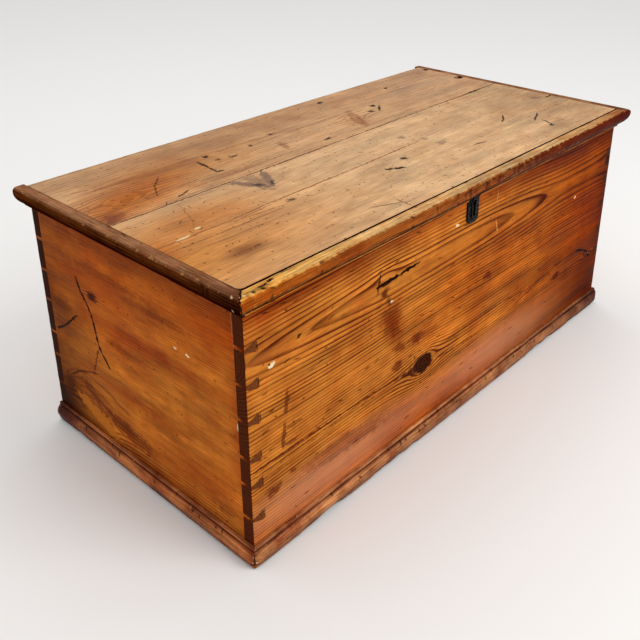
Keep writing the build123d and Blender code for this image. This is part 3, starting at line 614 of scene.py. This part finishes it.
right_end_pine = pine(
    "waxed_pine_right_end",
    end_grain="#451F0C",
    outwards=(1, 0, 0),
    rings=(4.4, 150.0, 60.0, 40.0, 0.5, 2000.0),
    knots=(((-70, 262), 13, 1.8, 1.0), ((120, 120), 9, 2.0, 0.8)),
    washes=(
        ("#604030", "MULTIPLY", (((262, 200), (70, 420), 0, 0.9), ((0, 30), (600, 40), 0, 0.8))),
        # Darker along the top, under the lid's overhang: painted shade.
        ("#B07868", "MULTIPLY", (((0, 415), (600, 70), 0, 0.8),)),
    ),
    stains=(("#7A4428", "MULTIPLY", (((60, 330), (50, 12), 8, 0.6), ((-160, 120), (30, 16), 0, 0.7))),),
    dents=right_end_dents,
    scatter=((28, (3.0, 1.6), 0.3, 16), (34, (9.0, 1.4), 0.3, 17, 0.5)),
    **end_look,
)

# Waxed back: the plainest board, darker and duller than the front
back_pine = pine(
    "waxed_pine_back",
    axes="XZY",
    early="#B8682A",
    late="#6E3312",
    end_grain="#341608",
    face=back_face,
    outwards=(0, 1, 0),
    rings=(2.4, 120.0, 300.0, 120.0, 0.3, 2000.0),
    knots=(((180, 260), 16, 2.0, 1.0), ((-260, 170), 12, 2.2, 0.9)),
    scatter=((40, (3.0, 1.3), 0.3, 6),),
    contrast=0.8,
    gloss=0.008,
)


def rounded_corner(shape, corner, radius):
    """Wears an upright corner of the carcass round: what stands out past the arc goes in to it."""
    waves = 60.0
    inwards = [-1 if side > 0 else 1 for side in corner]
    for vert in shape.verts:
        reach = [radius - (vert.co[axis] - corner[axis]) * inwards[axis] for axis in (0, 1)]
        away = Vector(reach)
        if min(reach) > 0 and away.length > radius:
            knock = 0.75 + 0.5 * noise.noise(vert.co * waves)
            away *= 1 + (radius / away.length - 1) * min(1.0, knock)
            for axis in (0, 1):
                vert.co[axis] = corner[axis] + (radius - away[axis]) * inwards[axis]


corner_radius = 3.0 * mm
corner_cuts = [corner_radius * share for share in (0.12, 0.3, 0.55, 1.0)]
corners = [(x * mm, y * mm) for y in (-front_face, back_face) for x in (-end_face, end_face)]
board_step, dent_depth = 12 * mm, 1.4 * mm
for node, finish, axes, outwards, dents in (
    ("front_board", front_pine, "XZY", (0, -1, 0), front_dents),
    ("left_end_board", left_end_pine, "YZX", (-1, 0, 0), left_end_dents),
    ("right_end_board", right_end_pine, "YZX", (1, 0, 0), right_end_dents),
    ("back_board", back_pine, "XZY", (0, 1, 0), ()),
):
    low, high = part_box(node)
    grid = {}
    for axis, first, last in zip("XYZ", low, high):
        near_corner = [first + cut for cut in corner_cuts] + [last - cut for cut in corner_cuts]
        grid[axis] = near_corner if axis != "Z" else []
        if axis in axes[:2]:
            grid[axis] = grid[axis] + even_steps(first, last, board_step)
    shape = sliced_copy(node, **grid)
    for corner in corners:
        rounded_corner(shape, corner, corner_radius)
    carve(shape, axes, outwards, dents, dent_depth)
    settle(shape, node, "carcass", finish)


# Bottom: three boards of unfinished pine, planed on one side only and nailed up from below.
# No wax has ever reached them, so they are pale and dry.
def dress(node, finish):
    """Gives a CAD piece its finish."""
    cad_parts[node].data.materials.clear()
    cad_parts[node].data.materials.append(finish)


raw_pine = pine(
    "raw_pine_bottom",
    axes="XYZ",
    early="#B98E5E",
    late="#8C6238",
    end_grain="#6B4A2C",
    face=30.0,
    rings=(2.4, 60.0, 190.0, 40.0, 0.4, 2000.0),
    scatter=((50, (4.0, 1.4), 0.3, 3),),
    contrast=0.5,
)
for node in ("bottom_board_front", "bottom_board_middle", "bottom_board_back"):
    dress(node, raw_pine)


# Plinth: a moulded strip of pine bradded round three sides, with a bead and a quirk along its
# top. Boots, mops and dragging have worn its foot away in scallops.
def plinth_finish(name, early, axes, face, side, corner, dark_end):
    """Reddish waxed pine with painted shade in its quirk, in its step and where it looks down, dirty mitres
    and bare flecks along its bead.

    side is the way that the strip looks, corner the place of its mitre along it, and dark_end the
    end towards which it grows darker.
    """
    arris = tuple(0.7 * part for part in side)
    mitres = (((corner, 20), (14, 1.8), 90, 0.9), ((-corner, 20), (14, 1.8), 90, 0.9))
    return pine(
        name,
        axes=axes,
        early=early,
        late="#7C4624",
        face=face,
        rings=(2.2, -60.0, 60.0, 0.0, 0.3, 2000.0),
        washes=(
            # Painted shade: dark bands in the quirk under the bead and in the step near the foot.
            ("#8A5A42", "MULTIPLY", (((0, 29.5), (2000, 3.2), 0, 1.0),)),
            ("#6A4030", "MULTIPLY", (((0, 8.5), (2000, 3.0), 0, 1.0),)),
            ("#6E3E20", "MULTIPLY", (((dark_end, 15), (0.8 * dark_end, 80), 0, 1.0),)),
        ),
        stains=(
            ("#4A3E38", "MIX", mitres),
            # Two near-white marks beside the mitre: painted highlights.
            (
                "#E4D4B4",
                "MIX",
                (((corner + 3.5, 12), (2.4, 1.4), 0, 0.9), ((corner + 2.5, 22), (1.6, 2.6), 0, 0.8)),
            ),
        ),
        # Painted shade where the strip looks down.
        shades=(((0, 0, -1), 0.1, 0.6, "#6A3A20", 1.0),),
        scatter=((26, (5.0, 2.4), 0.5, 4), (16, (1.6, 1.2), 0.3, 5)),
        rubs=(((arris[0], arris[1], 0.7), 0.85, 0.14, "#D89C64"),),
        blotch=("#A06448", 0.9),
        streaky=0.5,
        roughness=(0.3, 0.5),
        contrast=0.8,
        gloss=0.06,
    )


def worn(shape, depth):
    """Wears a shape: every vertex goes in by how sharp its arris is and by a slow noise."""
    square_arris, waves = 0.29, 90.0
    shape.normal_update()
    moves = []
    for vert in shape.verts:
        turn = 1 - min(face.normal.dot(vert.normal) for face in vert.link_faces)
        knock = 0.55 + 0.45 * noise.noise(vert.co * waves)
        moves.append((vert, vert.normal * (depth * min(1.0, turn / square_arris) * knock)))
    for vert, move in moves:
        vert.co -= move


def scallop(shape, height, deepest):
    """Wears the foot of a plinth away in scallops, deepest at the bottom; vertices that look straight down
    stay.
    """
    long_waves, short_waves = 14.0, 45.0
    for vert in shape.verts:
        if vert.co.z < height and vert.normal.z > -0.95:
            low = 1 - vert.co.z / height
            slow = noise.noise(Vector((vert.co.x * long_waves, vert.co.y * long_waves, 3.7)))
            quick = noise.noise(Vector((vert.co.x * short_waves, vert.co.y * short_waves, 9.1)))
            vert.co.z += max(0.0, slow + 0.4 * quick) * deepest * low


plinth_front, plinth_end = 254.0, 511.5
foot_height, scallop_depth = 13 * mm, 8 * mm
plinth_corner_radius, plinth_wear = 18 * mm, 0.9 * mm
plinth_step, foot_cuts = 4 * mm, (2 * mm, 5 * mm, 8 * mm)
for node, name, early, axes, face, side, corner, dark_end in (
    ("plinth_front", "waxed_pine_plinth", "#CE8A56", "XZY", plinth_front, (0, -1), -509.0, 620.0),
    ("plinth_left", "waxed_pine_plinth_left", "#C27440", "YZX", plinth_end, (-1, 0), -251.5, 300.0),
    ("plinth_right", "waxed_pine_plinth_right", "#C27440", "YZX", plinth_end, (1, 0), -251.5, 300.0),
):
    finish = plinth_finish(name, early, axes, face, side, corner, dark_end)
    low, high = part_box(node)
    along = "XY".index(axes[0])
    grid = {axes[0]: even_steps(low[along], high[along], plinth_step), "Z": foot_cuts}
    shape = sliced_copy(node, **grid)
    for end in (-1, 1):
        rounded_corner(shape, (end * plinth_end * mm, -plinth_front * mm), plinth_corner_radius)
    worn(shape, plinth_wear)
    scallop(shape, foot_height, scallop_depth)
    settle(shape, node, "carcass", finish)

# Lid boards: two wide boards glued edge to edge, bleached and scrubbed, dented all over by
# what has stood on them. The back one is browner, and the joint between them has opened.
lid_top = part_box("lid_board_front")[1].z / mm
front_lid_dents = (
    ((-263, -88), (14, 8), 0, 0.8),
    *crack(((-73, -112), (-58, -122), (-43, -130)), 12.6, 1.0),
    ((-10, -103), (10, 8), -30, 0.9),
    *crack(((277, -117), (292, -110), (310, -97)), 5.6, 0.9),
    *crack(((327, -158), (345, -150), (367, -140)), 4.8, 0.9),
    *crack(((338, -170), (328, -195)), 5.0, 0.9),
    ((324, -196), (8, 6), 20, 1.0),
    ((-403, -167), (8, 5), 0, 0.45),
    *crack(((-200, -200), (-153, -222)), 3.6, 0.6),
    *crack(((-157, -207), (-158, -236)), 3.6, 0.6),
    *crack(((130, -152), (155, -158)), 4.8, 0.7),
    *crack(((483, -95), (503, -95)), 5.6, 1.0),
)
back_lid_dents = (
    ((-21, 61), (13, 6), 15, 0.9),
    ((133, 225), (11, 7), 10, 0.9),
    ((310, 197), (13, 6), 30, 0.9),
    ((-230, 150), (7, 8), 0, 1.0),
    ((-225, 123), (7, 6), 0, 0.9),
    ((-197, 117), (10, 6), 0, 0.8),
    ((-73, 155), (8, 7), 0, 0.9),
    ((-140, 135), (7, 6), 0, 0.9),
    *crack(((-257, 137), (-259, 108), (-262, 80)), 6.2, 0.9),
    *crack(((-262, 80), (-250, 80)), 7.0, 0.9),
    *crack(((-343, 130), (-370, 103), (-387, 73)), 3.6, 0.7),
    *crack(((-368, 43), (-346, 52)), 5.6, 0.8),
    ((190, 132), (10, 8), 20, 1.0),
    *crack(((196, 120), (176, 103)), 7.0, 0.9),
    ((160, 110), (13, 7), -30, 0.9),
)
joint_line = (
    *crack(((-500, 28.5), (-250, 32.2), (0, 36.0), (250, 39.8), (500, 43.5)), 3.6, 0.9),
    *crack(((388, 41.8), (432, 42.5)), 9.0, 1.0),
)
lid_grain = {
    "axes": "XYZ",
    "end_grain": "#4A2410",
    "face": lid_top,
    "outwards": (0, 0, 1),
    "streaky": 0.28,
    "gloss": 0.06,
    "roughness": (0.42, 0.62),
    # Painted shade on the board edges that look into the gaps at the front and left mouldings.
    "shades": (((0, -1, 0), 0.5, 0.9, "#2A140A", 1.0), ((-1, 0, 0), 0.5, 0.9, "#2A140A", 1.0)),
}
forked_branch = (
    *crack(((-248, -30), (-280, 28)), 20, 0.75),
    *crack(((-245, -32), (-213, 28)), 18, 0.75),
    *crack(((-246, -36), (-248, 30)), 40, 0.55),
    ((73, -33), (12, 10), 0, 0.6),
    ((95, -67), (11, 9), 0, 0.5),
    ((100, -103), (16, 9), 20, 0.5),
    ((460, -80), (16, 12), 0, 0.6),
)
lid_front_dark_lines = (
    *crack(((-500, -79), (-380, -80), (-300, -76), (-100, -74), (60, -69)), 4.0, 0.85),
    *crack(((-500, -100), (-420, -101), (-300, -103)), 4.0, 0.8),
    *crack(((-365, -86), (-300, -82)), 3.2, 0.7),
    *crack(((-365, -88), (-290, -95)), 3.2, 0.7),
    *crack(((-490, -120), (-330, -122)), 3.4, 0.6),
    *crack(((-390, 15), (-410, -40), (-425, -60)), 3.2, 0.6),
)

# Scrubbed front board: straw pine with a branch's forked figure near the joint
lid_front_pine = pine(
    "scrubbed_pine_front_board",
    early="#DCB284",
    late="#9C6834",
    rings=(3.0, -640.0, 300.0, 60.0, 0.3, 2000.0),
    knots=(((-250, 40), 26, 1.6, 0.0),),
    washes=(
        ("#F2C47C", "MULTIPLY", (((-540, -130), (480, 230), 0, 1.0),)),
        # Greyer towards the right: bleached wood, with a painted reflection of the light in it.
        ("#D8D2CE", "MULTIPLY", (((520, -100), (420, 300), 0, 1.0),)),
        ("#E8C898", "MULTIPLY", (((-400, -40), (170, 76), 0, 0.8),)),
        ("#A08878", "MULTIPLY", (((-420, -165), (60, 26), 0, 0.9),)),
        ("#E8C090", "MULTIPLY", (((-510, -90), (50, 60), 0, 0.8),)),
    ),
    stains=(
        ("#6A5044", "MIX", forked_branch),
        ("#33231C", "MIX", (((-256, -10), (12, 8), -60, 0.8), ((-236, -20), (10, 5), 60, 0.8))),
        ("#8A562C", "MIX", lid_front_dark_lines),
        ("#F0DCA8", "MIX", (((-423, -66), (6, 4), 0, 0.7), ((-455, -77), (16, 2.5), 5, 0.7))),
        ("#4A2A12", "MIX", joint_line),
    ),
    scatter=((14, (2.8, 1.5), 0.4, 7), (34, (8.0, 1.2), 0.3, 8)),
    dents=front_lid_dents,
    blotch=("#D0B090", 0.35),
    contrast=0.36,
    **lid_grain,
)
lid_back_stains = (
    ((-440, 84), (60, 10), 30, 0.25),
    ((-482, 44), (30, 16), 20, 0.6),
    ((103, 100), (60, 14), 62, 0.5),
    ((-250, 60), (100, 12), 0, 0.4),
    ((-100, 92), (30, 10), 70, 0.6),
)
lid_back_dark_lines = (
    *crack(((-480, 172), (-440, 168), (-380, 176)), 4.0, 0.7),
    *crack(((-436, 160), (-415, 145), (-300, 142)), 4.0, 0.7),
    *crack(((-140, 132), (-60, 138), (100, 142)), 3.6, 0.7),
    *crack(((117, 113), (100, 85), (88, 55)), 4.0, 0.6),
)

# Scrubbed back board: browner, with a long tongue of rings at its left
lid_back_pine = pine(
    "scrubbed_pine_back_board",
    early="#D0A274",
    late="#96643A",
    rings=(7.0, 150.0, 26.0, -250.0, 0.4, 500.0),
    knots=(((-432, 96), 24, 1.8, 0.0), ((108, 104), 16, 1.2, 0.0)),
    washes=(
        ("#ECB45C", "MULTIPLY", (((-420, 92), (230, 100), 20, 1.0),)),
        ("#F0D8B0", "MULTIPLY", (((-300, 130), (260, 120), 0, 0.9),)),
        ("#B08068", "MULTIPLY", (((-490, 50), (50, 34), 40, 0.7),)),
        # Greyer and bluer towards the back and right: bleached wood, with a painted reflection of the light
        # in it.
        ("#DCD2CE", "MULTIPLY", (((-100, 205), (700, 90), 0, 0.8),)),
        ("#ECEEFA", "MULTIPLY", (((430, 180), (300, 200), 0, 0.9),)),
    ),
    stains=(
        ("#B08468", "MULTIPLY", lid_back_stains),
        ("#4A2A12", "MIX", joint_line),
        ("#8A5834", "MIX", lid_back_dark_lines),
    ),
    scatter=((16, (2.8, 1.5), 0.35, 9), (38, (8.0, 1.2), 0.25, 10)),
    dents=back_lid_dents,
    blotch=("#C8A088", 0.35),
    contrast=0.4,
    **lid_grain,
)
lid_step, lid_wear = 9 * mm, 0.6 * mm
for node, finish, dents in (
    ("lid_board_front", lid_front_pine, front_lid_dents),
    ("lid_board_back", lid_back_pine, back_lid_dents),
):
    low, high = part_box(node)
    lengthwise, crosswise = even_steps(low.x, high.x, lid_step), even_steps(low.y, high.y, lid_step)
    shape = sliced_copy(node, X=lengthwise, Y=crosswise)
    worn(shape, lid_wear)
    carve(shape, "XYZ", (0, 0, 1), dents, dent_depth)
    settle(shape, node, "lid", finish)


# Lid mouldings: pine strips with a rounded nose, bradded to the edges of the lid boards and
# mitred at the corners. The front one is rubbed to bare straw on top, the side ones are dark.
front_mitres = (*crack(((-499, -241), (-522, -265)), 3.4), *crack(((499, -241), (522, -265)), 3.4))
side_mitres = (*crack(((-241, -499), (-265, -522)), 3.4), *crack(((-241, 499), (-265, 522)), 3.4))
front_chips = (
    *crack(((-480, -252), (-465, -250), (-452, -247)), 6.0),
    ((-478, -258), (5, 2.6), -20, 0.9),
    ((-492, -256), (6, 3.4), 10, 0.9),
)

# Front moulding: rubbed to straw at its left, browner along its nose and towards the right
front_moulding_pine = pine(
    "rubbed_pine_front_moulding",
    axes="XYZ",
    early="#F0C488",
    late="#7A4416",
    face=lid_top,
    rings=(1.8, -330.0, 60.0, 0.0, 0.4, 2000.0),
    washes=(
        ("#DCC0A4", "MULTIPLY", (((620, -250), (500, 90), 0, 1.0),)),
        ("#C09880", "MULTIPLY", (((560, -250), (170, 90), 0, 1.0),)),
        ("#FFEFB0", "MULTIPLY", (((-520, -250), (360, 90), 0, 1.0),)),
    ),
    shades=(
        # Painted shade on the back face, in the gap at the lid board.
        ((0, 1, 0), 0.5, 0.9, "#1A0C06", 1.0),
        ((0, -1, 0), 0.4, 0.95, "#D8B080", 1.0),
        # Painted shade under the nose.
        ((0, 0, -1), 0.3, 0.6, "#4E2812", 1.0),
    ),
    stains=(
        ("#C89450", "MULTIPLY", (((0, -266), (1200, 8.0), 0, 0.8),)),
        ("#A4602E", "MULTIPLY", (((400, -266), (500, 8.0), 0, 0.9),)),
        ("#E8CC98", "MIX", (((-506, -255), (3.4, 2.2), 30, 0.8), ((-497, -257), (2.6, 1.4), 0, 0.7))),
        ("#241006", "MIX", (*front_mitres, ((-484, -254), (24, 4), 0, 0.6))),
    ),
    dents=front_chips,
    scatter=((22, (5.0, 1.8), 0.4, 11, 0.6), (50, (20.0, 1.4), 0.5, 14, 0.2)),
    blotch=("#D8A868", 0.8),
    streaky=0.5,
    gloss=0.015,
)

# Side mouldings: brown wax over reddish pine, with flecks of bare wood on the nose
side_moulding_pine = pine(
    "waxed_pine_side_moulding",
    axes="YXZ",
    early="#AD7955",
    late="#44240F",
    face=lid_top,
    rings=(1.8, -620.0, 60.0, 0.0, 0.4, 2000.0),
    washes=(("#8A6048", "MULTIPLY", (((-270, -510), (90, 60), 0, 0.9), ((-270, 510), (90, 60), 0, 0.9))),),
    shades=(
        ((-1, 0, 0), 0.35, 0.85, "#9C7850", 1.0),
        ((1, 0, 0), 0.35, 0.85, "#9C7850", 1.0),
        # Painted shade where it looks down, under the nose.
        ((0, 0, -1), -0.1, 0.5, "#7A4020", 1.0),
    ),
    stains=(
        ("#241006", "MIX", side_mitres),
        ("#E0C08C", "MIX", (((-256, -511), (5, 2.4), -30, 0.8), ((-246, -517), (3, 1.6), 0, 0.7))),
    ),
    rubs=(((-0.6, 0, 0.8), 0.9, 0.2, "#A87848"), ((0.6, 0, 0.8), 0.9, 0.2, "#A87848")),
    scatter=((22, (5.0, 1.8), 0.4, 12, 0.6), (44, (16.0, 1.4), 0.5, 13, 0.2)),
    blotch=("#A8784C", 0.7),
    streaky=0.6,
    gloss=0.0,
)
moulding_step, moulding_wear, chip_depth = 4 * mm, 0.8 * mm, 2.0 * mm
for node, axis, finish in (
    ("lid_moulding_front", "X", front_moulding_pine),
    ("lid_moulding_left", "Y", side_moulding_pine),
    ("lid_moulding_right", "Y", side_moulding_pine),
):
    low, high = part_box(node)
    along = "XY".index(axis)
    shape = sliced_copy(node, **{axis: even_steps(low[along], high[along], moulding_step)})
    worn(shape, moulding_wear)
    if axis == "X":
        carve(shape, "XYZ", (0, 0, 1), front_chips, chip_depth)
    settle(shape, node, "lid", finish)


# Ironwork: hinges, escutcheon and lock of hammered wrought iron, blackened with oil and heat.
# The black skin has worn to brown and grey, and hammering leaves shallow facets in it.
def iron(name, skin, bare, roughness, facet=5.0):
    """Blackened iron: a dark skin with worn, browner clouds and the marks of the hammer."""
    made, tree, shader = new_material(name)
    place = add(tree, "TexCoord", {}, out="Object")
    spot = add(tree, "VectorMath", {0: place, "Scale": 1000.0}, operation="SCALE")
    cloud = add(tree, "TexNoise", {"Vector": spot, "Scale": 0.25, "Detail": 5.0, "Roughness": 0.65})
    worn_away = add(tree, "MapRange", {"Value": cloud, "From Min": 0.52, "From Max": 0.68})
    colour = tinted(tree, worn_away, srgb(skin), bare)
    facets = {"Vector": spot, "Scale": 1 / facet, "Smoothness": 0.6}
    hammered = add(tree, "TexVoronoi", facets, feature="SMOOTH_F1")
    pitted = add(tree, "TexNoise", {"Vector": spot, "Scale": 0.9, "Detail": 3.0})
    rough_skin = add(tree, "Math", {0: pitted, 1: 0.12, 2: hammered}, operation="MULTIPLY_ADD")
    relief = add(tree, "Bump", {"Strength": 0.6, "Distance": 0.4 * mm, "Height": rough_skin}, out="Normal")
    dull = add(tree, "MapRange", {"Value": cloud, "To Min": roughness[0], "To Max": roughness[1]})
    tree.links.new(colour, shader.inputs["Base Color"])
    tree.links.new(relief, shader.inputs["Normal"])
    tree.links.new(dull, shader.inputs["Roughness"])
    tree.links.new(worn_away, shader.inputs["Metallic"])
    shader.inputs["IOR"].default_value = 1.5
    shader.inputs["Specular IOR Level"].default_value = 0.04
    return made


black_iron = iron("hammered_black_iron", "#0B0A0A", "#45443E", (0.3, 0.55))
for node in (
    "escutcheon",
    "escutcheon_pins",
    "lock_plate",
    "lock_case",
    "lock_posts",
    "lock_ward",
    "link_plate",
    "hinge_strap_left",
    "hinge_strap_right",
    "hinge_flap_left",
    "hinge_flap_right",
    "hinge_pin_left",
    "hinge_pin_right",
):
    dress(node, black_iron)

# Screws, nails, brads, bolt and spring: drawn and cut steel, driven or screwed into the wood
# or held in the lock case, and gone dull and brown with age.
old_steel = iron("dull_brown_steel", "#6A6058", "#5A3A26", (0.35, 0.6), facet=9.0)
for node in (
    "bottom_nails",
    "plinth_brads",
    "lid_brads",
    "lock_screws",
    "link_screws",
    "hinge_strap_screws",
    "hinge_flap_screws",
    "lock_spring",
    "lock_bolt",
):
    dress(node, old_steel)

# Floor: the plain matt white ground of a studio, far larger than the chest. It lies half a
# millimetre under the foot, so that the two surfaces don't coincide.
bpy.ops.mesh.primitive_plane_add(size=30.0, location=(0.0, 0.0, -0.5 * mm))
floor = bpy.context.object
floor.name = "studio_floor"
floor_paint, _, floor_shader = new_material("matt_white_floor")
floor_shader.inputs["Base Color"].default_value = srgb("#F6F5F3")
floor_shader.inputs["Roughness"].default_value = 0.9
floor.data.materials.append(floor_paint)


# Studio light: a large soft box above and in front of the chest, a weaker one above and behind
# it, and an even white surround.
def soft_box(name, place, towards, size, watts):
    """A square area light aimed at a point."""
    light = bpy.data.lights.new(name, "AREA")
    light.shape = "SQUARE"
    light.size = size
    light.energy = watts
    lamp = bpy.data.objects.new(name, light)
    lamp.location = place
    lamp.rotation_euler = (Vector(towards) - Vector(place)).to_track_quat("-Z", "Y").to_euler()
    bpy.context.scene.collection.objects.link(lamp)


chest_middle = (0.0, 0.0, 0.2)
soft_box("key_light", place=(0.6, -2.4, 2.6), towards=chest_middle, size=1.6, watts=40.0)
soft_box("top_light", place=(0.3, 1.4, 3.0), towards=chest_middle, size=2.4, watts=12.0)
world = bpy.data.worlds.new("white_surround")
world.use_nodes = True
world.node_tree.nodes["Background"].inputs["Color"].default_value = srgb("#FFFFFF")
world.node_tree.nodes["Background"].inputs["Strength"].default_value = 0.75
bpy.context.scene.world = world
bpy.context.scene.view_settings.view_transform = "Standard"
